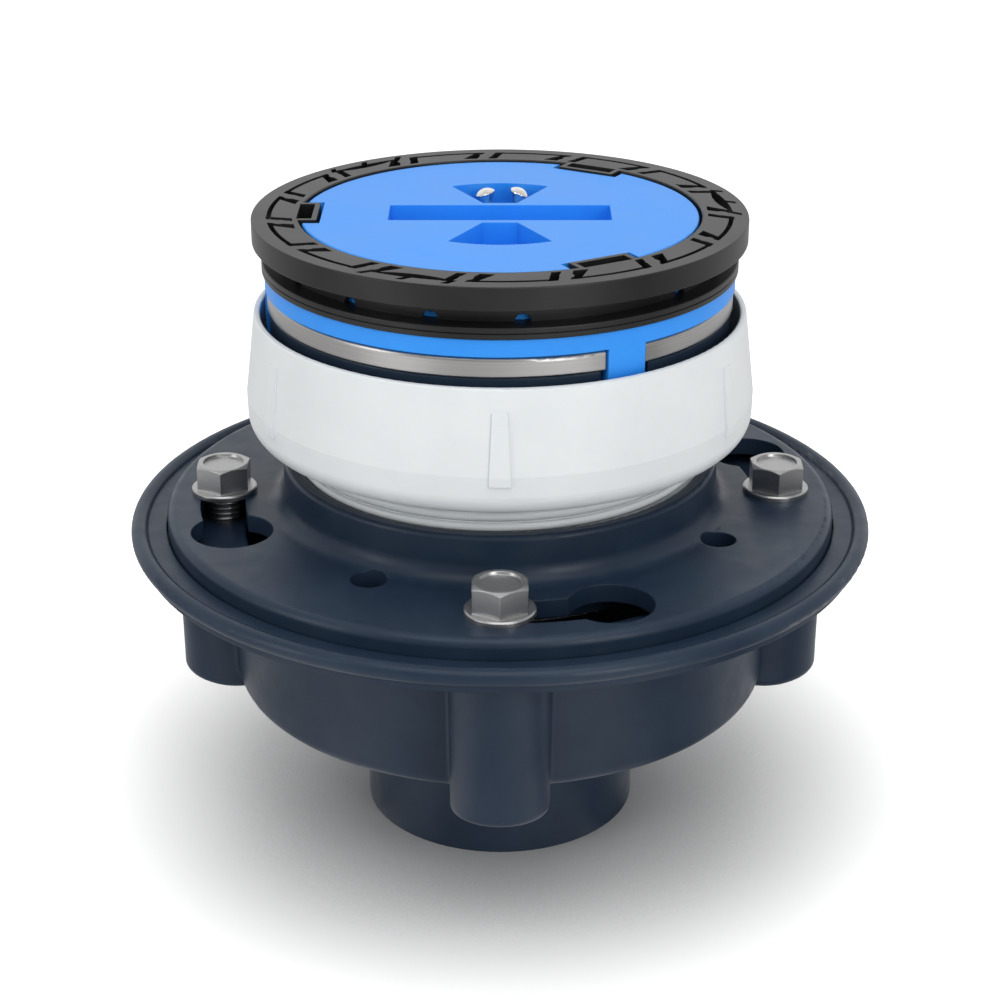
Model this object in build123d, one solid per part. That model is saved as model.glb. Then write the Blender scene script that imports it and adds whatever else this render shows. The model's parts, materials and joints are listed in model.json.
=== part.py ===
from build123d import *
import math
import os

# Adjustable floor drain with its construction cover on, in millimetres, +Z up.
# The origin is the centre of the outlet's lower end, and the front bolt is on the -Y side.

# Plan sizes are worked out from the bolt circle, the outlet's pipe and the grips.
bolt_circle_radius = 79.0
outlet_radius = 39.6

# Drain body: an outlet spigot, a bowl, four bolt bosses and a beaded flange
rim_border = 10.3
rim_bead_radius = 2.4
rim_bead_rise = 0.5
flange_top = 91.0
flange_thickness = 5.0
seat_depth = 3.0
bowl_inset = 0.9
bowl_draft = 1.4
bowl_bottom = 43.2
bowl_wall = 5.4
bowl_floor_fall = 5.0
bowl_corner_rounding = 3.5
flange_root_rounding = 4.0
seat_edge_rounding = 1.0
outlet_wall = 5.0
outlet_root_rounding = 4.0
boss_offset = 1.0
boss_top_radius = 13.4
boss_bottom_radius = 13.0
boss_bottom = 39.1
boss_bottom_slope = 8.5
boss_edge_rounding = 2.5
boss_root_rounding = 1.6

# Clamp bolts: flanged hexagon heads on a common circle
bolt_count = 4
bolt_first_angle = -90.0
bolt_shank_radius = 4.76
bolt_length = 32.0
bolt_hex_across_flats = 14.3
bolt_head_height = 8.9
bolt_crown = 0.9
bolt_crown_border = 0.3
bolt_dish_border = 1.4
bolt_dish_slope = 0.3
bolt_dish_depth = 0.8
bolt_flange_radius = 9.3
bolt_flange_height = 1.65
bolt_flange_chamfer = 0.4
bolt_end_chamfer = 1.0
bolt_hole_clearance = 0.06
bolt_hole_extra_depth = 4.0

# Clamp collar: a plate with a threaded hub, bolt keyholes and weep holes
collar_border = 15.7
collar_side_gap = 0.4
collar_rise = 8.5
collar_thickness = 5.2
collar_lip_width = 3.6
collar_edge_rounding = 2.4
hub_inset = 17.5
hub_wall = 4.35
hub_height = 13.0
hub_skirt = 6.5
hub_root_rounding = 5.0
hub_mouth_rounding = 1.2
keyhole_radius = 11.3
keyhole_turn = 21.2
keyhole_slot_width = 12.7
weep_count = 4
weep_radius = 4.9
weep_inset = 10.3
weep_first_angle = 60.0

# Adapter: a cup on a threaded neck, which screws up and down in the hub
thread_space = 0.95
neck_wall = 3.2
neck_length = 36.5
neck_end_rounding = 0.8
cup_root_rounding = 1.0
cup_raise = 9.0
cup_overhang = 14.5
cup_floor = 3.2
cup_corner_inset = 0.2
cup_corner_rounding = 6.0
cup_belly_height = 11.5
cup_draw_in = 2.8
cup_height = 34.3
cup_wall = 1.8
cup_lip_rounding = 0.6
cup_rib_count = 6
cup_rib_first_angle = -90.0
cup_rib_bottom = 9.1
cup_rib_length = 19.1
cup_rib_bottom_width = 5.9
cup_rib_top_width = 4.0
cup_rib_proud = 0.6

# Head: a gasket, a frame and the strainer that it carries
gasket_gap = 0.3
gasket_thickness = 3.0
gasket_outer_margin = 2.5
gasket_inner_margin = 0.7
frame_side_gap = 5.4
frame_height = 29.2
frame_wall = 3.4
frame_foot_width = 8.3
frame_foot_thickness = 4.0
frame_foot_rounding = 1.0
frame_inner_rounding = 1.5
frame_lip_rounding = 0.6
frame_window_gap = 1.6
frame_window_sill = 2.0
strainer_overhang = 0.5
strainer_thickness = 5.4
strainer_edge_rounding = 1.2
strainer_lower_rounding = 0.4
strainer_notch_gap = 0.5
strainer_slot_width = 6.0
strainer_slot_radii = (14.0, 25.5, 37.0)
strainer_slot_counts = (5, 8, 12)
strainer_slot_bridge = 4.6
strainer_screw_inset = 7.9
strainer_boss_radius = 5.4
screw_shank_radius = 2.4
screw_length = 14.0
screw_hole_extra_depth = 3.0
screw_head_radius = 4.6
screw_head_height = 2.4
screw_recess = 0.3
screw_drive_across_flats = 3.0
screw_drive_depth = 2.0
screw_clearance = 0.05

# Construction cover: a hollow plug on a wide foot with three legs
cover_seat_gap = 0.3
cover_foot_overhang = 1.0
cover_foot_height = 4.7
cover_foot_rounding = 0.3
cover_plug_inset = 10.4
cover_step_gap = 0.4
cover_plug_height = 14.05
cover_wall = 2.2
cover_edge_rounding = 0.5
leg_count = 3
leg_first_angle = 60.0
leg_width = 11.0
leg_thickness = 2.2
leg_toe_depth = 3.1
leg_toe_height = 4.0
leg_length = 12.0
leg_end_taper = 1.5
grip_slot_length = 60.4
grip_slot_width = 14.7
grip_depth = 10.5
fan_radius = 30.2
fan_apex_distance = 9.6
fan_half_angle = 27.2
fan_apex_half_width = 4.7

# Two polished oval-head screws that lean towards each other in the rear grip
spare_head_radius = 2.95
spare_head_rim = 0.4
spare_head_height = 4.0
spare_dome_rise = 1.2
spare_shank_radius = 1.25
spare_length = 11.6
spare_clearance = 0.05
spare_top_below_face = 0.4
spare_distance = 25.9
spare_places = ((-4.7, -16.0), (6.3, 24.0))

# Spacer ring: two flanges on a pierced waist, with locating pockets and notched lands
ring_inner_gap = 0.8
ring_top_height = 14.44
ring_top_thickness = 6.3
ring_waist_offset = 5.9
ring_waist_wall = 1.5
ring_overhang = 7.54
ring_foot_overhang = 0.7
ring_foot_thickness = 3.2
ring_foot_groove_height = 1.6
ring_foot_groove_depth = 0.4
ring_edge_rounding = 0.4
ring_hole_radius = 2.05
ring_hole_count = 16
ring_hole_first_angle = -39.5
pocket_width = 14.3
pocket_depth = 4.1
pocket_wall = 1.4
pocket_height = 9.0
pocket_floor = 1.4
pocket_side_gap = 1.7
pocket_end_gap = 1.0
land_count = 15
land_first_angle = -2.0
land_groove_depth = 2.6
land_groove_inset = 4.24
land_groove_width = 1.3
land_tooth_inset = 3.3
land_tooth_head_radius = 1.9
land_tooth_neck_offset = 1.6
land_tooth_neck_width = 3.2
land_tooth_depth = 6.9
land_tooth_slant = 2.9
land_cut_width = 2.6
land_cut_foot_width = 4.0
lock_count = 3
lock_first_angle = 9.6
lock_half_length = 8.7
lock_depth = 1.8
lock_slit_reach = 2.3
lock_slit_width = 2.0
lock_slit_slant = 1.9
lock_slit_offsets = (-12.2, -2.1, 8.2)

# Radii that follow from the bolt circle
collar_radius = bolt_circle_radius + collar_border
rim_radius = collar_radius + rim_border
bowl_top_radius = bolt_circle_radius - bowl_inset
bowl_bottom_radius = bowl_top_radius - bowl_draft
weep_circle_radius = bolt_circle_radius - weep_inset
hub_radius = bolt_circle_radius - hub_inset
bore_radius = hub_radius - hub_wall
neck_radius = bore_radius - thread_space
cup_belly_radius = neck_radius + cup_overhang
cup_rim_radius = cup_belly_radius - cup_draw_in
frame_radius = cup_belly_radius - cup_wall - frame_side_gap
frame_foot_inner_radius = frame_radius - frame_foot_width
gasket_inner_radius = frame_foot_inner_radius - gasket_inner_margin
gasket_outer_radius = frame_radius - gasket_outer_margin
strainer_radius = frame_radius + strainer_overhang
strainer_screw_circle_radius = frame_radius - strainer_screw_inset
cover_foot_radius = frame_radius + cover_foot_overhang
cover_plug_radius = cover_foot_radius - cover_plug_inset
ring_waist_radius = cover_plug_radius + ring_waist_offset
cover_step_radius = ring_waist_radius - ring_waist_wall - cover_step_gap
ring_radius = ring_waist_radius + ring_overhang
ring_foot_radius = cover_foot_radius + ring_foot_overhang
land_groove_outer_radius = ring_radius - land_groove_inset
land_tooth_radius = land_groove_outer_radius - land_tooth_inset

# Heights that follow from the sizes above
seat_height = flange_top - seat_depth
collar_top = seat_height + collar_rise
collar_underside = collar_top - collar_thickness
hub_top = collar_top + hub_height
cup_underside = hub_top + cup_raise
cup_rim = cup_underside + cup_height
gasket_bottom = cup_underside + cup_floor + gasket_gap
frame_bottom = gasket_bottom + gasket_thickness
frame_top = frame_bottom + frame_height
strainer_top = frame_top + strainer_thickness
cover_bottom = strainer_top + cover_seat_gap
cover_foot_top = cover_bottom + cover_foot_height
cover_top = cover_foot_top + cover_plug_height
ring_top = cover_foot_top + ring_top_height
notch_floor = ring_top - pocket_height - pocket_end_gap
grip_floor = cover_top - grip_depth
leg_bottom = frame_top - leg_length
bolt_angles = [bolt_first_angle + 360 / bolt_count * index for index in range(bolt_count)]
leg_angles = [leg_first_angle + 360 / leg_count * index for index in range(leg_count)]
upward = (Align.CENTER, Align.CENTER, Align.MIN)


# A solid of revolution. Each corner is (radius, height) or (radius, height, rounding).
def turned(*corners):
    points = [(corner[0], 0, corner[1]) for corner in corners]
    roundings = [corner[2] if len(corner) == 3 else 0 for corner in corners]
    outline = FilletPolyline(*points, radius=roundings, close=True)
    return revolve(make_face(outline), Axis.Z)


def disc(radius, bottom, top):
    return Pos(0, 0, bottom) * Cylinder(radius, top - bottom, align=upward)


def tube(outer_radius, inner_radius, bottom, top):
    return disc(outer_radius, bottom, top) - disc(inner_radius, bottom, top)


def prism(sketch, bottom, top):
    return extrude(Pos(0, 0, bottom) * sketch, amount=top - bottom, dir=(0, 0, 1))


# A place at a distance from the axis, turned so that its own +X points outwards
def spoke(angle, radius=0.0, height=0.0):
    return Rot(0, 0, angle) * Pos(radius, 0, height)


def around(shape, angles):
    return [Rot(0, 0, angle) * shape for angle in angles]


def bowl_radius_at(height):
    share = (height - bowl_bottom) / (flange_top - flange_thickness - bowl_bottom)
    return bowl_bottom_radius + (bowl_top_radius - bowl_bottom_radius) * share


# A bolt boss at the +X side. Its bottom slopes up outwards, as the bowl's floor does.
def bolt_boss(top):
    boss = Cone(boss_bottom_radius, boss_top_radius, top - outlet_wall, align=upward)
    below = Box(rim_radius, rim_radius, rim_radius, align=(Align.CENTER, Align.CENTER, Align.MAX))
    boss = Pos(0, 0, outlet_wall) * boss - Pos(0, 0, boss_bottom) * Rot(0, -boss_bottom_slope, 0) * below
    boss = fillet(boss.edges().group_by(Axis.Z)[0], boss_edge_rounding)
    return Pos(bolt_circle_radius + boss_offset, 0, 0) * boss


# The upright seams where the bosses stand on the bowl
def boss_seams(casting):
    height = (boss_bottom + flange_top) / 2
    bowl = bowl_radius_at(height)
    boss = (boss_bottom_radius + boss_top_radius) / 2
    centre = bolt_circle_radius + boss_offset
    spread = math.degrees(math.acos((bowl**2 + centre**2 - boss**2) / (2 * bowl * centre)))
    places = [spoke(angle + side * spread, bowl, height) for angle in bolt_angles for side in (-1, 1)]
    return [casting.edges().sort_by_distance(place.position)[0] for place in places]


def drain_body():
    flange_bottom = flange_top - flange_thickness
    bead_centre = rim_radius - rim_bead_radius
    seat_radius = collar_radius + collar_side_gap
    floor_top = bowl_bottom + bowl_wall
    shell = turned(
        (outlet_radius, 0),
        (outlet_radius, bowl_bottom - bowl_floor_fall, outlet_root_rounding),
        (bowl_bottom_radius, bowl_bottom, bowl_corner_rounding),
        (bowl_radius_at(flange_bottom), flange_bottom, flange_root_rounding),
        (bead_centre, flange_bottom),
        (bead_centre, flange_top),
        (seat_radius, flange_top),
        (seat_radius, seat_height),
        (bowl_radius_at(seat_height) - bowl_wall, seat_height, seat_edge_rounding),
        (bowl_radius_at(floor_top) - bowl_wall, floor_top, bowl_corner_rounding),
        (outlet_radius - outlet_wall, floor_top - bowl_floor_fall, outlet_root_rounding),
        (outlet_radius - outlet_wall, 0),
    )
    bead_place = Pos(bead_centre, 0, flange_top - rim_bead_rise)
    bead = revolve(bead_place * (Plane.XZ * Circle(rim_bead_radius)), Axis.Z)
    inside = disc(bowl_radius_at(floor_top) - bowl_wall, outlet_wall, floor_top)
    inside += turned(
        (0, floor_top),
        (bowl_radius_at(floor_top) - bowl_wall, floor_top),
        (bowl_radius_at(seat_height) - bowl_wall, seat_height),
        (0, seat_height),
    )
    casting = shell + bead
    for boss in around(bolt_boss(flange_bottom + 1), bolt_angles):
        casting += boss - inside
    casting = fillet(boss_seams(casting), boss_root_rounding)
    hole_radius = bolt_shank_radius + bolt_hole_clearance
    hole_depth = bolt_length + bolt_hole_extra_depth
    hole = disc(hole_radius, collar_top - hole_depth, seat_height + 1)
    for angle in bolt_angles:
        casting -= spoke(angle, bolt_circle_radius) * hole
    return casting


def keyhole():
    arc = CenterArc((0, 0), bolt_circle_radius, 0, keyhole_turn)
    slot = SlotArc(arc, keyhole_slot_width)
    return slot + spoke(keyhole_turn, bolt_circle_radius) * Circle(keyhole_radius)


def clamp_collar():
    plate = turned(
        (bore_radius, collar_underside - hub_skirt),
        (hub_radius, collar_underside - hub_skirt, hub_mouth_rounding),
        (hub_radius, collar_underside, hub_mouth_rounding),
        (collar_radius - collar_lip_width, collar_underside, hub_mouth_rounding),
        (collar_radius - collar_lip_width, seat_height),
        (collar_radius, seat_height),
        (collar_radius, collar_top, collar_edge_rounding),
        (hub_radius, collar_top, hub_root_rounding),
        (hub_radius, hub_top, hub_mouth_rounding),
        (bore_radius, hub_top, hub_mouth_rounding),
    )
    for angle in bolt_angles:
        plate -= Rot(0, 0, angle) * prism(keyhole(), collar_underside - 1, collar_top + 1)
    weep_hole = disc(weep_radius, collar_underside - 1, collar_top + 1)
    for index in range(weep_count):
        angle = weep_first_angle + 360 / weep_count * index
        plate -= spoke(angle, weep_circle_radius) * weep_hole
    return plate


def flange_bolt():
    head = Pos(0, 0, collar_top) * Cylinder(bolt_flange_radius, bolt_flange_height, align=upward)
    head = chamfer(head.edges().group_by(Axis.Z)[-1], bolt_flange_chamfer)
    hexagon = RegularPolygon(bolt_hex_across_flats / 2, 6, major_radius=False, rotation=30)
    past_corners = bolt_hex_across_flats / math.sqrt(3) + bolt_crown_border
    dish_radius = bolt_hex_across_flats / 2 - bolt_dish_border
    head_top = collar_top + bolt_head_height
    crown = turned(
        (0, collar_top),
        (past_corners, collar_top),
        (past_corners, head_top - bolt_crown),
        (bolt_hex_across_flats / 2 - bolt_crown_border, head_top),
        (dish_radius, head_top),
        (dish_radius - bolt_dish_slope, head_top - bolt_dish_depth),
        (0, head_top - bolt_dish_depth),
    )
    head += prism(hexagon, collar_top, head_top) & crown
    shank = disc(bolt_shank_radius, collar_top - bolt_length, collar_top)
    shank = chamfer(shank.edges().group_by(Axis.Z)[0], bolt_end_chamfer)
    return head + shank


def cup_outline(proud=0.0):
    belly = cup_underside + cup_belly_height
    return (
        (cup_belly_radius - cup_corner_inset + proud, cup_underside, cup_corner_rounding),
        (cup_belly_radius + proud, belly),
        (cup_rim_radius + proud, cup_rim, cup_lip_rounding),
    )


def adapter():
    floor_top = cup_underside + cup_floor
    belly = cup_underside + cup_belly_height
    cup = turned(
        (neck_radius - neck_wall, cup_underside - neck_length),
        (neck_radius, cup_underside - neck_length, neck_end_rounding),
        (neck_radius, cup_underside, cup_root_rounding),
        *cup_outline(),
        (cup_rim_radius - cup_wall, cup_rim, cup_lip_rounding),
        (cup_belly_radius - cup_wall, belly),
        (cup_belly_radius - cup_corner_inset - cup_wall, floor_top, cup_corner_rounding - cup_wall),
        (neck_radius - neck_wall, floor_top),
    )
    rib_face = Polygon(
        (-cup_rib_bottom_width / 2, 0),
        (cup_rib_bottom_width / 2, 0),
        (cup_rib_top_width / 2, cup_rib_length),
        (-cup_rib_top_width / 2, cup_rib_length),
        align=None,
    )
    rib_bottom = cup_underside + cup_rib_bottom
    rib = extrude(Plane.YZ * rib_face, amount=cup_belly_radius + cup_rib_proud)
    rib = Pos(0, 0, rib_bottom) * rib
    envelope = turned((0, cup_underside), *cup_outline(cup_rib_proud), (0, cup_rim))
    core = turned((0, cup_underside), *cup_outline(-cup_wall / 2), (0, cup_rim))
    rib = (rib & envelope) - core
    for index in range(cup_rib_count):
        cup += Rot(0, 0, cup_rib_first_angle + 360 / cup_rib_count * index) * rib
    return cup


def head_gasket():
    return tube(gasket_outer_radius, gasket_inner_radius, gasket_bottom, frame_bottom)


def screw_angles():
    return (90.0, -90.0)


def head_frame():
    inner_radius = frame_radius - frame_wall
    frame = turned(
        (frame_foot_inner_radius, frame_bottom),
        (frame_radius, frame_bottom, frame_foot_rounding),
        (frame_radius, frame_top, frame_lip_rounding),
        (inner_radius, frame_top),
        (inner_radius, frame_bottom + frame_foot_thickness, frame_inner_rounding),
        (frame_foot_inner_radius, frame_bottom + frame_foot_thickness),
    )
    boss = disc(strainer_boss_radius, frame_bottom + 1, frame_top)
    hole_radius = screw_shank_radius + screw_clearance
    hole = disc(hole_radius, strainer_top - screw_length - screw_hole_extra_depth, frame_top + 1)
    for angle in screw_angles():
        pillar = spoke(angle, strainer_screw_circle_radius) * boss
        frame += pillar & disc(inner_radius + 0.5, frame_bottom, frame_top)
        frame -= spoke(angle, strainer_screw_circle_radius) * hole
    window_width = leg_width + 2 * frame_window_gap
    window_height = leg_length + frame_window_sill + 1
    window = Box(frame_radius, window_width, window_height, align=upward)
    for angle in leg_angles:
        frame -= spoke(angle, frame_radius, leg_bottom - frame_window_sill) * window
    return frame


def strainer():
    plate = turned(
        (0, frame_top),
        (strainer_radius, frame_top, strainer_lower_rounding),
        (strainer_radius, strainer_top, strainer_edge_rounding),
        (0, strainer_top),
    )
    slots = []
    for row_radius, slot_count in zip(strainer_slot_radii, strainer_slot_counts):
        bridge = (strainer_slot_bridge + strainer_slot_width) / row_radius
        sweep = 360 / slot_count - math.degrees(bridge)
        slot = SlotArc(CenterArc((0, 0), row_radius, 90 - sweep / 2, sweep), strainer_slot_width)
        slots += around(slot, [360 / slot_count * index for index in range(slot_count)])
    plate -= prism(Sketch() + slots, frame_top - 1, strainer_top + 1)
    toe_radius = cover_foot_radius - leg_thickness - leg_toe_depth
    notch_width = leg_width + 2 * strainer_notch_gap
    notch_align = (Align.MIN, Align.CENTER, Align.CENTER)
    notch = Box(strainer_radius, notch_width, 4 * strainer_thickness, align=notch_align)
    for angle in leg_angles:
        plate -= spoke(angle, toe_radius - strainer_notch_gap, strainer_top) * notch
    for angle in screw_angles():
        place = spoke(angle, strainer_screw_circle_radius)
        plate -= place * screw_form(screw_clearance)
        head_hole_radius = screw_head_radius + screw_clearance
        plate -= place * disc(head_hole_radius, strainer_top - screw_recess, strainer_top + 1)
    return plate


# The outside of a countersunk strainer screw, grown by a clearance
def screw_form(clearance=0.0):
    top = strainer_top - screw_recess
    return turned(
        (0, top - screw_length),
        (screw_shank_radius + clearance, top - screw_length),
        (screw_shank_radius + clearance, top - screw_head_height),
        (screw_head_radius + clearance, top),
        (0, top),
    )


def strainer_screw():
    drive = RegularPolygon(screw_drive_across_flats / 2, 6, major_radius=False)
    top = strainer_top - screw_recess
    return screw_form() - prism(drive, top - screw_drive_depth, top + 1)


def fan_outline(grow=0.0):
    half_width = fan_apex_half_width + grow
    apex = fan_apex_distance - grow
    reach = fan_radius + grow
    slope = math.tan(math.radians(fan_half_angle))
    far = reach + 10
    flared = half_width + slope * (far - apex)
    sides = Polygon((-half_width, apex), (half_width, apex), (flared, far), (-flared, far), align=None)
    return sides & Circle(reach)


def grips(grow=0.0):
    slot = Rectangle(grip_slot_length + 2 * grow, grip_slot_width + 2 * grow)
    return slot + fan_outline(grow) + Rot(0, 0, 180) * fan_outline(grow)


def pocket_block(side_grow, end_grow, bottom, top):
    inner = cover_plug_radius + ring_inner_gap - pocket_depth - pocket_wall - end_grow
    outer = ring_waist_radius
    width = pocket_width + 2 * pocket_wall + 2 * side_grow
    block = Box(outer - inner, width, top - bottom, align=(Align.MIN, Align.CENTER, Align.MIN))
    return Pos(inner, 0, bottom) * block


def spare_place(offset, lean):
    below_face = cover_top - spare_top_below_face
    return Pos(offset, spare_distance, below_face) * Rot(0, lean, 0)


# The cover's outside: plug, step, foot and a full skirt, of which only the legs are left standing
def cover_outside():
    inner = cover_foot_radius - leg_thickness
    toe = inner - leg_toe_depth
    outside = turned(
        (0, cover_bottom),
        (inner, cover_bottom),
        (inner, frame_top),
        (toe, frame_top - leg_toe_height),
        (toe, leg_bottom + leg_end_taper),
        (toe + leg_end_taper, leg_bottom),
        (cover_foot_radius, leg_bottom),
        (cover_foot_radius, cover_foot_top, cover_foot_rounding),
        (cover_step_radius, cover_foot_top),
        (cover_step_radius, notch_floor, cover_foot_rounding),
        (cover_plug_radius, notch_floor),
        (cover_plug_radius, cover_top, cover_edge_rounding),
        (0, cover_top),
    )
    between_legs = disc(cover_foot_radius + 1, leg_bottom - 1, cover_bottom)
    leg_bar = Box(rim_radius, leg_width, cover_bottom, align=(Align.MIN, Align.CENTER, Align.MIN))
    return outside - (between_legs - around(leg_bar, leg_angles))


def construction_cover():
    hollow_top = cover_top - cover_wall
    hollow = disc(cover_plug_radius - cover_wall, cover_bottom - 1, hollow_top)
    hollow -= prism(grips(cover_wall), grip_floor - cover_wall, hollow_top + 1)
    side_gap = pocket_side_gap + cover_wall
    end_gap = pocket_end_gap + cover_wall
    well = pocket_block(side_gap, end_gap, notch_floor - cover_wall, hollow_top + 1)
    hollow -= around(well, leg_angles)
    cover = cover_outside() - hollow
    cover -= prism(grips(), grip_floor, cover_top + 1)
    notch = pocket_block(pocket_side_gap, pocket_end_gap, notch_floor, cover_top + 1)
    cover -= around(notch, leg_angles)
    # the screws' ends stand in shallow holes in the grip's floor
    hole = disc(spare_shank_radius + spare_clearance, -spare_length, -spare_head_height)
    for offset, lean in spare_places:
        cover -= spare_place(offset, lean) * hole
    return cover


def spare_screw(offset, lean):
    screw = turned(
        (0, -spare_length),
        (spare_shank_radius, -spare_length),
        (spare_shank_radius, -spare_head_height),
        (spare_head_radius, -spare_dome_rise - spare_head_rim),
        (spare_head_radius, -spare_dome_rise),
        (0, -spare_dome_rise),
    )
    dome_radius = (spare_head_radius**2 + spare_dome_rise**2) / (2 * spare_dome_rise)
    dome = Pos(0, 0, -dome_radius) * Sphere(dome_radius)
    screw += dome & disc(spare_head_radius + 1, -spare_dome_rise, 1)
    return spare_place(offset, lean) * screw


# Flat shapes cut into the ring's face. Each is drawn at the +X side, where local +X is
# anticlockwise along the ring and local +Y is outwards.
def at_tooth(shape, angle):
    return Rot(0, 0, angle - 90) * Pos(0, land_tooth_radius) * mirror(shape, about=Plane.YZ)


# A cut that slants to the right as it goes inwards, and is wider or narrower at its foot
def slanted_cut(top_left, top_width, foot_width, slant, top, bottom):
    foot_left = top_left + slant
    foot_corners = (foot_left, bottom), (foot_left + foot_width, bottom)
    return Polygon((top_left, top), *foot_corners, (top_left + top_width, top), align=None)


# The pair of slanting cuts that parts one land from the next, hooked round the head of a tooth
def tooth_pair():
    top = land_groove_outer_radius - land_tooth_radius
    bottom = top - land_tooth_depth
    neck_left = -land_tooth_neck_offset - land_tooth_neck_width / 2
    neck_right = neck_left + land_tooth_neck_width
    left_of = neck_left - land_cut_width
    left = slanted_cut(left_of, land_cut_width, land_cut_width, land_tooth_slant, top, bottom)
    right = slanted_cut(neck_right, land_cut_width, land_cut_foot_width, land_tooth_slant, top, bottom)
    return left + right - Circle(land_tooth_head_radius)


# The groove along the outside of a land, from one pair of cuts to the next
def land_groove():
    middle = land_groove_outer_radius - land_groove_width / 2
    past_pair = land_tooth_neck_width / 2 + land_cut_width / 2
    start = math.degrees((past_pair - land_tooth_neck_offset) / middle)
    gap = math.degrees(2 * past_pair / middle)
    arc = CenterArc((0, 0), middle, start, 360 / land_count - gap)
    return SlotArc(arc, land_groove_width)


# The crescent that widens three of the grooves, and the slits across the border beside it
def lock_crescent():
    groove_inner = land_groove_outer_radius - land_groove_width
    sagitta = math.sqrt(groove_inner**2 - lock_half_length**2) - groove_inner + lock_depth
    radius = (lock_half_length**2 + sagitta**2) / (2 * sagitta)
    lens = Pos(groove_inner - lock_depth + radius, 0) * Circle(radius)
    return lens & Circle(land_groove_outer_radius - land_groove_width / 2)


def lock_slit():
    bottom = land_groove_outer_radius - land_groove_width / 2 - land_tooth_radius
    top = land_groove_outer_radius + lock_slit_reach - land_tooth_radius
    return slanted_cut(-lock_slit_width / 2, lock_slit_width, lock_slit_width, lock_slit_slant, top, bottom)


def land_cuts():
    step = 360 / land_count
    cuts = []
    for index in range(land_count):
        angle = land_first_angle + step * index
        cuts += [at_tooth(tooth_pair(), angle), Rot(0, 0, angle) * land_groove()]
    for index in range(lock_count):
        angle = lock_first_angle + 360 / lock_count * index
        cuts.append(Rot(0, 0, angle) * lock_crescent())
        for offset in lock_slit_offsets:
            cuts.append(at_tooth(lock_slit(), angle + offset))
    return cuts


def spacer_ring():
    inner_radius = cover_plug_radius + ring_inner_gap
    waist_inner = ring_waist_radius - ring_waist_wall
    ring_under = ring_top - ring_top_thickness
    foot_top = cover_foot_top + ring_foot_thickness
    groove_height = cover_foot_top + ring_foot_groove_height
    ring = turned(
        (waist_inner, cover_foot_top),
        (ring_foot_radius, cover_foot_top, ring_edge_rounding),
        (ring_foot_radius, groove_height - ring_foot_groove_depth / 2),
        (ring_foot_radius - ring_foot_groove_depth, groove_height),
        (ring_foot_radius, groove_height + ring_foot_groove_depth / 2),
        (ring_foot_radius, foot_top, ring_edge_rounding),
        (ring_waist_radius, foot_top),
        (ring_waist_radius, ring_under),
        (ring_radius, ring_under, ring_edge_rounding),
        (ring_radius, ring_top, ring_edge_rounding),
        (inner_radius, ring_top, ring_edge_rounding),
        (inner_radius, ring_under),
        (waist_inner, ring_under),
    )
    pocket_bottom = ring_top - pocket_height
    hollow_inner = inner_radius - pocket_depth
    hollow = Box(pocket_depth, pocket_width, pocket_height, align=(Align.MIN, Align.CENTER, Align.MIN))
    hollow = Pos(hollow_inner, 0, pocket_bottom + pocket_floor) * hollow
    wall_side = disc(waist_inner + 0.5, pocket_bottom, ring_top)
    for angle in leg_angles:
        block = pocket_block(0, 0, pocket_bottom, ring_top) & wall_side
        ring += Rot(0, 0, angle) * block
        ring -= Rot(0, 0, angle) * hollow
    hole = Cylinder(ring_hole_radius, 4 * ring_waist_wall, rotation=(0, 90, 0))
    hole &= Box(4 * ring_waist_wall, 2 * ring_hole_radius, ring_hole_radius, align=upward)
    pocket_half_angle = math.degrees((pocket_width / 2 + pocket_wall) / ring_waist_radius)
    for index in range(ring_hole_count):
        angle = ring_hole_first_angle + 360 / ring_hole_count * index
        beside = min(abs((angle - leg_angle + 180) % 360 - 180) for leg_angle in leg_angles)
        if beside > pocket_half_angle:
            ring -= spoke(angle, ring_waist_radius, foot_top) * hole
    face_bottom = ring_top - land_groove_depth
    return ring - [prism(cut, face_bottom, ring_top + 1) for cut in land_cuts()]


def main():
    os.makedirs("parts", exist_ok=True)
    pieces = {
        "drain_body": drain_body(),
        "clamp_collar": clamp_collar(),
        "adapter": adapter(),
        "head_gasket": head_gasket(),
        "head_frame": head_frame(),
        "strainer": strainer(),
        "construction_cover": construction_cover(),
        "spacer_ring": spacer_ring(),
    }
    for name, angle in zip(("front", "right", "rear", "left"), bolt_angles):
        # every bolt head has a corner to the front
        pieces["clamp_bolt_" + name] = spoke(angle, bolt_circle_radius) * Rot(0, 0, -angle) * flange_bolt()
    for name, angle in zip(("rear", "front"), screw_angles()):
        place = spoke(angle, strainer_screw_circle_radius)
        pieces["strainer_screw_" + name] = place * strainer_screw()
    for name, (offset, lean) in zip(("left", "right"), spare_places):
        pieces["spare_screw_" + name] = spare_screw(offset, lean)
    for name, solid in pieces.items():
        export_step(solid, "parts/" + name + ".step")


main()
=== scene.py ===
import json
import math

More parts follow.
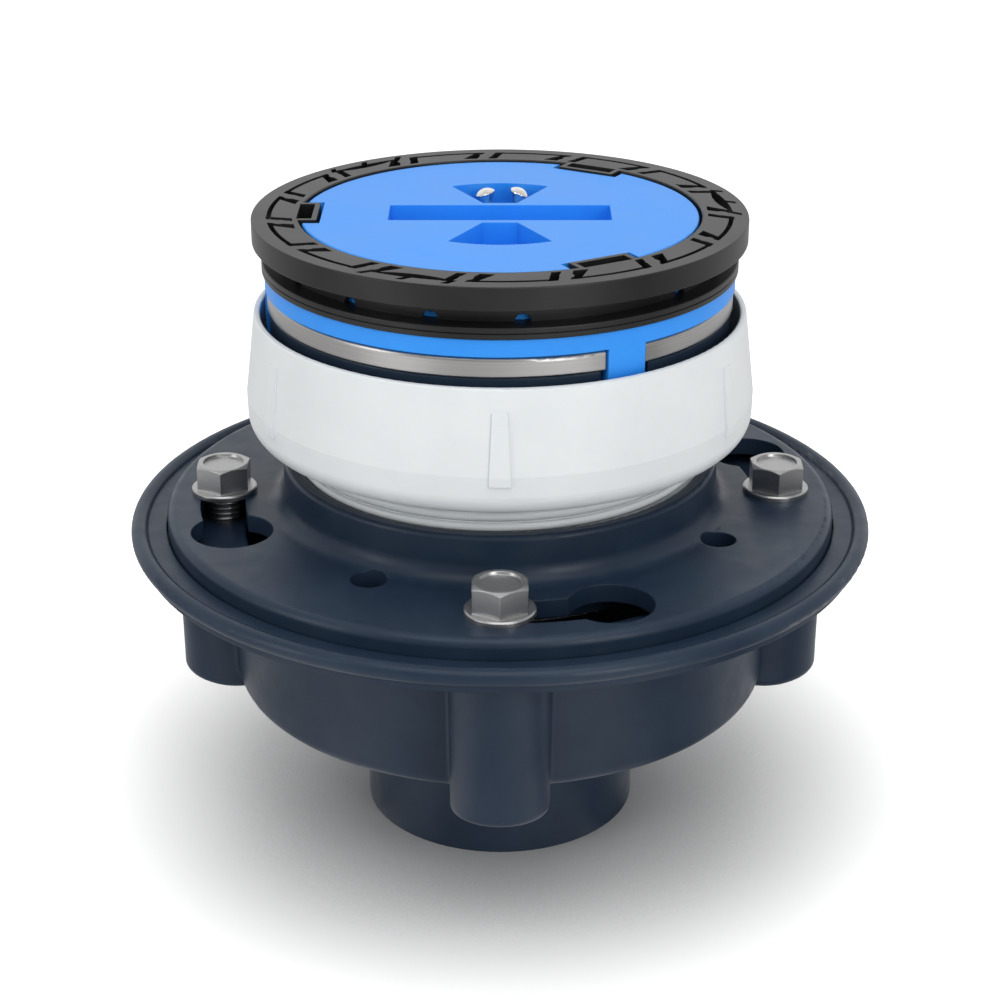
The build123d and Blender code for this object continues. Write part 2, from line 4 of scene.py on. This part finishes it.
import bmesh
import bpy
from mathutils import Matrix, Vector


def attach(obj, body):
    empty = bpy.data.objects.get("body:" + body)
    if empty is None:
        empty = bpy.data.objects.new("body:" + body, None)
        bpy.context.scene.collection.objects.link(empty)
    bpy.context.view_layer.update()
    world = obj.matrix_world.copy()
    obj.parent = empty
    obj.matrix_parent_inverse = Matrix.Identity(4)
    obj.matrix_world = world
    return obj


# Looks of an adjustable floor drain, in metres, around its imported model.
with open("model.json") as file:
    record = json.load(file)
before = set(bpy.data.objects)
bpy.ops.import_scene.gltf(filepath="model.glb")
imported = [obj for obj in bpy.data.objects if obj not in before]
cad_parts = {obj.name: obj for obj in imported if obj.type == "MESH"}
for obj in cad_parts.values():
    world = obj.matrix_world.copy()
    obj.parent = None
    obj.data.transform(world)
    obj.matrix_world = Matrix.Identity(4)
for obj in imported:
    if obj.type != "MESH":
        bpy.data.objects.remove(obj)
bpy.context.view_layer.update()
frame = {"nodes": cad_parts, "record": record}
nodes = frame["nodes"]
millimetre = 0.001
print("frame loaded with", len(nodes), "nodes")


# Camera, at the photograph's viewing angle
viewpoint = {
    "place": (0.0, -0.57485, 0.34289),
    "tilt": 66.537,
    "lens": 78.41,
    "sensor": 36.0,
    "nearest": 0.01,
}


def addCamera():
    data = bpy.data.cameras.new("viewpoint")
    data.lens = viewpoint["lens"]
    data.sensor_width = viewpoint["sensor"]
    data.clip_start = viewpoint["nearest"]
    camera = bpy.data.objects.new("viewpoint", data)
    camera.location = viewpoint["place"]
    camera.rotation_euler = (math.radians(viewpoint["tilt"]), 0, 0)
    bpy.context.scene.collection.objects.link(camera)
    bpy.context.scene.camera = camera


addCamera()
print("camera placed")


# Small helpers for node trees, where an input takes a plain value or another node's output
def feed(tree, socket, value):
    if isinstance(value, bpy.types.NodeSocket):
        tree.links.new(value, socket)
    else:
        socket.default_value = value


def addNode(tree, kind, inputs, mode=None, operation=None):
    node = tree.nodes.new(kind)
    if mode:
        node.mode = mode
    if operation:
        node.operation = operation
    for label, value in inputs.items():
        feed(tree, node.inputs[label], value)
    return node


def mathNode(tree, operation, first, second=0.0):
    return addNode(tree, "ShaderNodeMath", {0: first, 1: second}, operation=operation).outputs[0]


def combine(tree, x=0.0, y=0.0, z=0.0):
    return addNode(tree, "ShaderNodeCombineXYZ", {"X": x, "Y": y, "Z": z}).outputs["Vector"]


def separate(tree, place):
    return addNode(tree, "ShaderNodeSeparateXYZ", {"Vector": place}).outputs


def mapRange(tree, value, span, levels):
    change = addNode(tree, "ShaderNodeMapRange", {
        "Value": value,
        "From Min": span[0],
        "From Max": span[1],
        "To Min": levels[0],
        "To Max": levels[1],
    })
    return change.outputs["Result"]


def ramp(tree, value, stops):
    colours = addNode(tree, "ShaderNodeValToRGB", {"Fac": value})
    points = colours.color_ramp.elements
    for index, (position, colour) in enumerate(stops):
        point = points[index] if index < len(points) else points.new(position)
        point.position = position
        point.color = (*colour, 1)
    return colours.outputs["Color"]


# Helpers for patterns and reliefs on a surface
def objectPlace(tree, stretch=(1, 1, 1)):
    coordinates = tree.nodes.new("ShaderNodeTexCoord")
    mapping = addNode(tree, "ShaderNodeMapping", {
        "Vector": coordinates.outputs["Object"],
        "Scale": stretch,
    })
    return mapping.outputs["Vector"]


# Distance from the drain's axis and the height, for lines left by a lathe
def lathePlace(tree):
    parts = separate(tree, objectPlace(tree))
    flat = combine(tree, parts["X"], parts["Y"])
    radius = addNode(tree, "ShaderNodeVectorMath", {0: flat}, operation="LENGTH")
    return combine(tree, radius.outputs["Value"], parts["Z"])


def noise(tree, place, scale, detail, roughness=0.5):
    texture = addNode(tree, "ShaderNodeTexNoise", {
        "Vector": place,
        "Scale": scale,
        "Detail": detail,
        "Roughness": roughness,
    })
    return texture.outputs["Fac"]


def tint(tree, value, span, low, high):
    return ramp(tree, value, ((span[0], low), (span[1], high)))


def bump(tree, height, strength, distance, normal=None):
    relief = addNode(tree, "ShaderNodeBump", {
        "Height": height,
        "Strength": strength,
        "Distance": distance,
    })
    if normal:
        feed(tree, relief.inputs["Normal"], normal)
    return relief.outputs["Normal"]


edgeSamples = 4


def roundedEdge(tree, radius):
    edge = addNode(tree, "ShaderNodeBevel", {"Radius": radius})
    edge.samples = edgeSamples
    return edge.outputs["Normal"]


def startMaterial(name):
    material = bpy.data.materials.new(name)
    material.use_nodes = True
    return material, material.node_tree


def setShader(tree, colour, roughness, normal, metallic=0.0, specular=0.5):
    shader = tree.nodes["Principled BSDF"]
    for label, value in (
        ("Base Color", colour),
        ("Roughness", roughness),
        ("Normal", normal),
        ("Metallic", metallic),
        ("Specular IOR Level", specular),
    ):
        feed(tree, shader.inputs[label], value)


# Coated iron: a dark blue, satin coat over sand-cast skin
ironCoat = {
    "deep": (0.012, 0.024, 0.047),
    "pale": (0.017, 0.032, 0.057),
    "clouds": {"scale": 45.0, "detail": 5.0, "roughness": 0.6},
    "cloudSpan": (0.35, 0.65),
    "patches": {"scale": 135.0, "detail": 3.0},
    "patchSpan": (0.3, 0.7),
    "roughness": (0.30, 0.42),
    "waves": {"scale": 260.0, "detail": 2.0},
    "waveRelief": {"strength": 0.10, "distance": 0.0003},
    "grain": {"scale": 1500.0, "detail": 2.0},
    "grainRelief": {"strength": 0.25, "distance": 0.00006},
    "edgeRadius": 0.0006,
    "specular": 0.26,
}


def ironMaterial(name):
    look = ironCoat
    material, tree = startMaterial(name)
    place = objectPlace(tree)
    clouds = noise(tree, place, **look["clouds"])
    colour = tint(tree, clouds, look["cloudSpan"], look["deep"], look["pale"])
    patches = noise(tree, place, **look["patches"])
    rough = mapRange(tree, patches, look["patchSpan"], look["roughness"])
    edge = roundedEdge(tree, look["edgeRadius"])
    waves = noise(tree, place, **look["waves"])
    waved = bump(tree, waves, normal=edge, **look["waveRelief"])
    grain = noise(tree, place, **look["grain"])
    normal = bump(tree, grain, normal=waved, **look["grainRelief"])
    setShader(tree, colour, rough, normal, specular=look["specular"])
    return material


# Bolt steel: zinc plate, a little speckled, with faint drawing lines in its gloss
plate = {
    "dull": (0.38, 0.38, 0.38),
    "bright": (0.45, 0.45, 0.45),
    "specks": {"scale": 1800.0, "detail": 4.0, "roughness": 0.7},
    "speckSpan": (0.3, 0.7),
    "lineStretch": (220.0, 220.0, 5200.0),
    "lines": {"scale": 1.0, "detail": 3.0},
    "lineSpan": (0.3, 0.7),
    "roughness": (0.32, 0.37),
    "edgeRadius": 0.00035,
}


def boltMaterial():
    look = plate
    material, tree = startMaterial("boltSteel")
    lines = noise(tree, objectPlace(tree, look["lineStretch"]), **look["lines"])
    specks = noise(tree, objectPlace(tree), **look["specks"])
    colour = tint(tree, specks, look["speckSpan"], look["dull"], look["bright"])
    rough = mapRange(tree, lines, look["lineSpan"], look["roughness"])
    setShader(tree, colour, rough, roundedEdge(tree, look["edgeRadius"]), metallic=1.0)
    return material


# Strainer steel: satin, with the lathe's fine lines round its edge and face
strainerLook = {
    "dull": (0.38, 0.37, 0.365),
    "bright": (0.47, 0.46, 0.455),
    "lines": {"scale": 2600.0, "detail": 3.0},
    "lineSpan": (0.3, 0.7),
    "lineRelief": {"strength": 0.14, "distance": 0.00004},
    "roughness": 0.30,
    "edgeRadius": 0.0004,
}


def strainerMaterial():
    look = strainerLook
    material, tree = startMaterial("strainerSteel")
    lines = noise(tree, lathePlace(tree), **look["lines"])
    colour = tint(tree, lines, look["lineSpan"], look["dull"], look["bright"])
    edge = roundedEdge(tree, look["edgeRadius"])
    normal = bump(tree, lines, normal=edge, **look["lineRelief"])
    setShader(tree, colour, look["roughness"], normal, metallic=1.0)
    return material


# Polished screws, and the plainer screws that hold the strainer
screwLooks = {
    "polishedSteel": {"dull": (0.80, 0.76, 0.72), "bright": (0.90, 0.88, 0.85), "roughness": (0.06, 0.096)},
    "screwSteel": {"dull": (0.50, 0.49, 0.48), "bright": (0.62, 0.61, 0.60), "roughness": (0.30, 0.48)},
}
screwSkin = {
    "smudges": {"scale": 700.0, "detail": 4.0},
    "tintSpan": (0.35, 0.65),
    "roughSpan": (0.3, 0.7),
    "relief": {"strength": 0.03, "distance": 0.00003},
    "edgeRadius": 0.0003,
}


def screwMaterial(name):
    look = screwLooks[name]
    material, tree = startMaterial(name)
    smudges = noise(tree, objectPlace(tree), **screwSkin["smudges"])
    colour = tint(tree, smudges, screwSkin["tintSpan"], look["dull"], look["bright"])
    rough = mapRange(tree, smudges, screwSkin["roughSpan"], look["roughness"])
    edge = roundedEdge(tree, screwSkin["edgeRadius"])
    normal = bump(tree, smudges, normal=edge, **screwSkin["relief"])
    setShader(tree, colour, rough, normal, metallic=1.0)
    return material


# Moulded plastics: one skin, three colours
mouldings = {
    "whitePlastic": {
        "low": (0.720, 0.752, 0.763),
        "high": (0.750, 0.780, 0.790),
        "roughness": 0.38,
        "grainStrength": 0.05,
        "specular": 0.45,
    },
    "bluePlastic": {
        "low": (0.028, 0.285, 0.87),
        "high": (0.033, 0.300, 0.91),
        "roughness": 0.36,
        "grainStrength": 0.06,
        "specular": 0.26,
    },
    "blackPlastic": {
        "low": (0.010, 0.010, 0.0102),
        "high": (0.017, 0.017, 0.0172),
        "roughness": 0.36,
        "grainStrength": 0.10,
        "specular": 0.34,
    },
}
mouldedSkin = {
    "flow": {"scale": 60.0, "detail": 4.0},
    "tintSpan": (0.35, 0.65),
    "roughSpan": (0.3, 0.7),
    "roughShares": (0.92, 1.1),
    "grain": {"scale": 2600.0, "detail": 3.0},
    "grainHeight": 0.00005,
    "edgeRadius": 0.0002,
}


def plasticMaterial(name):
    look = mouldings[name]
    material, tree = startMaterial(name)
    place = objectPlace(tree)
    flow = noise(tree, place, **mouldedSkin["flow"])
    colour = tint(tree, flow, mouldedSkin["tintSpan"], look["low"], look["high"])
    levels = [look["roughness"] * share for share in mouldedSkin["roughShares"]]
    rough = mapRange(tree, flow, mouldedSkin["roughSpan"], levels)
    grain = noise(tree, place, **mouldedSkin["grain"])
    edge = roundedEdge(tree, mouldedSkin["edgeRadius"])
    normal = bump(tree, grain, look["grainStrength"], mouldedSkin["grainHeight"], edge)
    setShader(tree, colour, rough, normal, specular=look["specular"])
    return material


# Rubber: matte, a little dusty
rubberLook = {
    "dark": (0.010, 0.010, 0.011),
    "dusty": (0.030, 0.030, 0.031),
    "dust": {"scale": 900.0, "detail": 5.0},
    "dustSpan": (0.4, 0.75),
    "dustRelief": {"strength": 0.2, "distance": 0.00008},
    "roughness": 0.7,
    "specular": 0.3,
}


def rubberMaterial():
    look = rubberLook
    material, tree = startMaterial("gasketRubber")
    dust = noise(tree, objectPlace(tree), **look["dust"])
    colour = tint(tree, dust, look["dustSpan"], look["dark"], look["dusty"])
    normal = bump(tree, dust, **look["dustRelief"])
    setShader(tree, colour, look["roughness"], normal, specular=look["specular"])
    return material


# The names on the left are the material slots of the frame
materials = {
    "coated_iron": ironMaterial("coatedIron"),
    "coated_frame": ironMaterial("coatedFrame"),
    "bolt_steel": boltMaterial(),
    "strainer_steel": strainerMaterial(),
    "polished_steel": screwMaterial("polishedSteel"),
    "screw_steel": screwMaterial("screwSteel"),
    "white_plastic": plasticMaterial("whitePlastic"),
    "blue_plastic": plasticMaterial("bluePlastic"),
    "black_plastic": plasticMaterial("blackPlastic"),
    "gasket_rubber": rubberMaterial(),
}


def dressNodes():
    for part in frame["record"]["subparts"]:
        node = nodes[part["node"]]
        for place in node.material_slots:
            place.material = materials[part["material_slot"]]


dressNodes()
print("materials on every node")


# Geometry Nodes for screw threads: a tooth swept along a helix, set at each point of a circle
threadInputs = {
    "Helix Radius": "NodeSocketFloat",
    "Pitch": "NodeSocketFloat",
    "Turns": "NodeSocketFloat",
    "Bottom": "NodeSocketFloat",
    "Tooth Depth": "NodeSocketFloat",
    "Root Width": "NodeSocketFloat",
    "Crest Width": "NodeSocketFloat",
    "Crest Lean": "NodeSocketFloat",
    "Tooth Turn": "NodeSocketFloat",
    "Steps a Turn": "NodeSocketInt",
    "Copies": "NodeSocketInt",
    "Circle Radius": "NodeSocketFloat",
    "Material": "NodeSocketMaterial",
}
runOut = 0.5  # turns over which the tooth grows and fades at its ends
leastTooth = 0.02  # share of the tooth that is left at the very end


# A right-handed helix that stands on the level z = 0
def threadHelix(tree, given):
    helix = addNode(tree, "GeometryNodeCurveSpiral", {
        "Reverse": True,
        "Resolution": given["Steps a Turn"],
        "Rotations": given["Turns"],
        "Start Radius": given["Helix Radius"],
        "End Radius": given["Helix Radius"],
        "Height": mathNode(tree, "MULTIPLY", given["Turns"], given["Pitch"]),
    })
    upright = addNode(tree, "GeometryNodeSetCurveNormal", {"Curve": helix.outputs["Curve"]}, mode="Z_UP")
    along = tree.nodes.new("GeometryNodeSplineParameter")
    passed = mathNode(tree, "MULTIPLY", along.outputs["Factor"], given["Turns"])
    left = mathNode(tree, "SUBTRACT", given["Turns"], passed)
    nearest = mathNode(tree, "MINIMUM", passed, left)
    swell = mathNode(tree, "MINIMUM", mathNode(tree, "DIVIDE", nearest, runOut), 1.0)
    sized = addNode(tree, "GeometryNodeSetCurveRadius", {
        "Curve": upright.outputs["Curve"],
        "Radius": mathNode(tree, "MAXIMUM", swell, leastTooth),
    })
    return sized.outputs["Curve"]


def toothProfile(tree, given):
    tooth = addNode(tree, "GeometryNodeCurvePrimitiveQuadrilateral", {
        "Bottom Width": given["Root Width"],
        "Top Width": given["Crest Width"],
        "Height": given["Tooth Depth"],
        "Offset": given["Crest Lean"],
    }, mode="TRAPEZOID")
    turned = addNode(tree, "GeometryNodeTransform", {
        "Geometry": tooth.outputs["Curve"],
        "Rotation": combine(tree, z=given["Tooth Turn"]),
    })
    return turned.outputs["Geometry"]


# Points at even steps round a circle on the axis
def circlePoints(tree, given):
    index = tree.nodes.new("GeometryNodeInputIndex")
    passed = mathNode(tree, "MULTIPLY", index.outputs["Index"], 2 * math.pi)
    turn = mathNode(tree, "DIVIDE", passed, given["Copies"])
    across = mathNode(tree, "MULTIPLY", mathNode(tree, "COSINE", turn), given["Circle Radius"])
    deep = mathNode(tree, "MULTIPLY", mathNode(tree, "SINE", turn), given["Circle Radius"])
    points = addNode(tree, "GeometryNodePoints", {
        "Count": given["Copies"],
        "Position": combine(tree, across, deep),
    })
    return points.outputs["Points"]


def threadTree():
    tree = bpy.data.node_groups.new("screwThread", "GeometryNodeTree")
    tree.interface.new_socket("Geometry", in_out="OUTPUT", socket_type="NodeSocketGeometry")
    for name, kind in threadInputs.items():
        tree.interface.new_socket(name, in_out="INPUT", socket_type=kind)
    given = tree.nodes.new("NodeGroupInput").outputs
    sweep = addNode(tree, "GeometryNodeCurveToMesh", {
        "Curve": threadHelix(tree, given),
        "Profile Curve": toothProfile(tree, given),
        "Scale": tree.nodes.new("GeometryNodeInputRadius").outputs["Radius"],
        "Fill Caps": True,
    })
    raised = addNode(tree, "GeometryNodeTransform", {
        "Geometry": sweep.outputs["Mesh"],
        "Translation": combine(tree, z=given["Bottom"]),
    })
    placed = addNode(tree, "GeometryNodeInstanceOnPoints", {
        "Points": circlePoints(tree, given),
        "Instance": raised.outputs["Geometry"],
    })
    whole = addNode(tree, "GeometryNodeRealizeInstances", {"Geometry": placed.outputs["Instances"]})
    coloured = addNode(tree, "GeometryNodeSetMaterial", {
        "Geometry": whole.outputs["Geometry"],
        "Material": given["Material"],
    })
    addNode(tree, "NodeGroupOutput", {"Geometry": coloured.outputs["Geometry"]})
    return tree


mergeDistance = 1e-7  # far below the shortest edge of a tooth


# Runs a tree on an empty mesh and keeps the result as a plain mesh
def growPiece(name, tree, values, body, slot):
    scratch = bpy.data.objects.new(name + "Tree", bpy.data.meshes.new(name + "Tree"))
    bpy.context.scene.collection.objects.link(scratch)
    modifier = scratch.modifiers.new("grow", "NODES")
    modifier.node_group = tree
    sockets = {item.name: item.identifier for item in tree.interface.items_tree if item.in_out == "INPUT"}
    for label, value in values.items():
        modifier[sockets[label]] = value
    modifier[sockets["Material"]] = materials[slot]
    graph = bpy.context.evaluated_depsgraph_get()
    mesh = bpy.data.meshes.new_from_object(scratch.evaluated_get(graph))
    bpy.data.objects.remove(scratch)
    mesh.name = name
    shell = bmesh.new()
    shell.from_mesh(mesh)
    bmesh.ops.remove_doubles(shell, verts=shell.verts, dist=mergeDistance)
    bmesh.ops.recalc_face_normals(shell, faces=shell.faces)
    shell.to_mesh(mesh)
    shell.free()
    piece = bpy.data.objects.new(name, mesh)
    bpy.context.scene.collection.objects.link(piece)
    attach(piece, body)


# The adapter's neck: its pitch is the one that couples the adapter's turn to its rise
neckThread = {
    "body": "adapter",
    "slot": "white_plastic",
    "outwards": True,
    "wallRadius": 56.2 * millimetre,
    "bottom": 85.1 * millimetre,
    "pitch": 3.175 * millimetre,
    "turns": 10.2,
    "depth": 0.85 * millimetre,
    "rootWidth": 3.1 * millimetre,
    "crestWidth": 1.6 * millimetre,
    "crestLean": 0.75 * millimetre,
    "steps": 120,
    "copies": 1,
    "circleRadius": 0.0,
}
# The collar's hub: its tooth lies in the groove under a turn of the neck's
hubDrop = 1.0 * millimetre
hubThread = {
    "body": "base",
    "slot": "coated_iron",
    "outwards": False,
    "wallRadius": 57.15 * millimetre,
    "bottom": neckThread["bottom"] + neckThread["pitch"] - hubDrop,
    "pitch": neckThread["pitch"],
    "turns": 6.1,
    "depth": 0.7 * millimetre,
    "rootWidth": 1.05 * millimetre,
    "crestWidth": 0.2 * millimetre,
    "crestLean": 0.4 * millimetre,
    "steps": 120,
    "copies": 1,
    "circleRadius": 0.0,
}
# The four clamp bolts
boltThreads = {
    "body": "base",
    "slot": "bolt_steel",
    "outwards": True,
    "wallRadius": 4.76 * millimetre,
    "bottom": 88.3 * millimetre,
    "pitch": 1.5875 * millimetre,
    "turns": 4.9,
    "depth": 0.42 * millimetre,
    "rootWidth": 1.35 * millimetre,
    "crestWidth": 0.25 * millimetre,
    "crestLean": 0.0,
    "steps": 32,
    "copies": 4,
    "circleRadius": 79.0 * millimetre,
}
toothSunk = 0.2  # share of a tooth's depth that reaches into its wall


def threadValues(look):
    side = 1 if look["outwards"] else -1
    middle = look["depth"] * (1 - toothSunk) / 2
    return {
        "Helix Radius": look["wallRadius"] + side * middle,
        "Pitch": look["pitch"],
        "Turns": look["turns"],
        "Bottom": look["bottom"],
        "Tooth Depth": look["depth"] * (1 + toothSunk),
        "Root Width": look["rootWidth"],
        "Crest Width": look["crestWidth"],
        "Crest Lean": look["crestLean"],
        "Tooth Turn": -side * math.pi / 2,
        "Steps a Turn": look["steps"],
        "Copies": look["copies"],
        "Circle Radius": look["circleRadius"],
    }


def addThreads():
    tree = threadTree()
    pieces = {"neckThread": neckThread, "hubThread": hubThread, "boltThreads": boltThreads}
    for name, look in pieces.items():
        growPiece(name, tree, threadValues(look), look["body"], look["slot"])


addThreads()
print("threads cut")


# A pale floor. The camera sees its shade deepen under the object, and glossy surfaces see it
# bright and dim by turns round the drain, as if softboxes stood there.
floorLook = {
    "radius": 3.0,
    "segments": 96,
    "paint": 0.86,
    "shadeReach": 0.24,
    "shadeSamples": 8,
    "shadeSpan": (0.30, 0.84),
    "shade": (0.49, 1.55),  # close under the drain, and in the open
    "sheenShade": (0.4, 1.0),
    # each stop is a share of a turn, from the back by the left, front and right, and its level
    "sheen": (
        (0.0, 0.7),
        (0.25, 0.62),
        (0.31, 0.65),
        (0.345, 1.2),
        (0.39, 1.2),
        (0.43, 0.7),
        (0.49, 0.75),
        (0.53, 0.95),
        (0.57, 1.15),
        (0.62, 1.1),
        (0.645, 0.25),
        (0.69, 0.25),
        (0.73, 0.7),
    ),
}


# Where a point of the floor lies round the drain, as a share of a turn
def floorTurn(tree):
    parts = separate(tree, objectPlace(tree))
    front = mathNode(tree, "MULTIPLY", parts["Y"], -1.0)
    angle = mathNode(tree, "ARCTAN2", parts["X"], front)
    return mapRange(tree, angle, (-math.pi, math.pi), (0.0, 1.0))


def floorMaterial():
    look = floorLook
    material, tree = startMaterial("studioFloor")
    tree.nodes.clear()
    rays = tree.nodes.new("ShaderNodeLightPath").outputs
    around = addNode(tree, "ShaderNodeAmbientOcclusion", {"Distance": look["shadeReach"]})
    around.samples = look["shadeSamples"]
    shade = mapRange(tree, around.outputs["AO"], look["shadeSpan"], look["shade"])
    change = mathNode(tree, "SUBTRACT", shade, look["paint"])
    change = mathNode(tree, "MULTIPLY", change, rays["Is Camera Ray"])
    level = mathNode(tree, "ADD", change, look["paint"])
    paint = addNode(tree, "ShaderNodeBsdfDiffuse", {"Color": level})
    greys = [(turn, (grey,) * 3) for turn, grey in look["sheen"]]
    sheen = ramp(tree, floorTurn(tree), greys)
    seen = mathNode(tree, "MAXIMUM", rays["Is Glossy Ray"], rays["Is Transmission Ray"])
    dimmed = mapRange(tree, around.outputs["AO"], look["shadeSpan"], look["sheenShade"])
    glow = addNode(tree, "ShaderNodeEmission", {
        "Color": sheen,
        "Strength": mathNode(tree, "MULTIPLY", dimmed, seen),
    })
    either = addNode(tree, "ShaderNodeMixShader", {
        0: seen,
        1: paint.outputs["BSDF"],
        2: glow.outputs["Emission"],
    })
    addNode(tree, "ShaderNodeOutputMaterial", {"Surface": either.outputs["Shader"]})
    return material


def addFloor():
    look = floorLook
    shell = bmesh.new()
    bmesh.ops.create_circle(shell, cap_ends=True, segments=look["segments"], radius=look["radius"])
    mesh = bpy.data.meshes.new("studioFloor")
    shell.to_mesh(mesh)
    shell.free()
    mesh.materials.append(floorMaterial())
    floor = bpy.data.objects.new("studioFloor", mesh)
    bpy.context.scene.collection.objects.link(floor)


# Soft studio light: a dome that is paler behind the object, a broad lamp above the front, and two strips
white = (1, 1, 1, 1)
studio = {
    "domeSpan": (-0.4, 0.8),
    "domeLevels": (0.42, 1.0),
    "target": (0.0, 0.0, 0.1),
    "lamps": {
        "aboveLamp": {"place": (0.0, -0.45, 1.05), "size": (1.0, 0.8), "power": 4.6},
        "leftLamp": {"place": (-0.93, -0.50, 0.45), "size": (0.35, 0.6), "power": 2.0},
        "rightLamp": {"place": (0.54, -0.88, 0.45), "size": (0.36, 0.6), "power": 2.8},
    },
}


# The camera sees the dome white, as anything clear would, and its light is dimmer towards the front
def addDome():
    world = bpy.data.worlds.new("studioDome")
    world.use_nodes = True
    tree = world.node_tree
    tree.nodes.clear()
    direction = tree.nodes.new("ShaderNodeTexCoord").outputs["Generated"]
    level = mapRange(tree, separate(tree, direction)["Y"], studio["domeSpan"], studio["domeLevels"])
    rays = tree.nodes.new("ShaderNodeLightPath").outputs
    seen = mathNode(tree, "MAXIMUM", rays["Is Camera Ray"], rays["Is Transmission Ray"])
    background = addNode(tree, "ShaderNodeBackground", {
        "Color": white,
        "Strength": mathNode(tree, "MAXIMUM", seen, level),
    })
    addNode(tree, "ShaderNodeOutputWorld", {"Surface": background.outputs["Background"]})
    bpy.context.scene.world = world


def addLamp(name, place, size, power):
    data = bpy.data.lights.new(name, "AREA")
    data.shape = "RECTANGLE"
    data.size, data.size_y = size
    data.energy = power
    lamp = bpy.data.objects.new(name, data)
    lamp.location = place
    heading = Vector(studio["target"]) - Vector(place)
    lamp.rotation_euler = heading.to_track_quat("-Z", "Y").to_euler()
    bpy.context.scene.collection.objects.link(lamp)


addFloor()
addDome()
for name, look in studio["lamps"].items():
    addLamp(name, look["place"], look["size"], look["power"])
bpy.context.scene.view_settings.view_transform = "Standard"
print("studio lit")
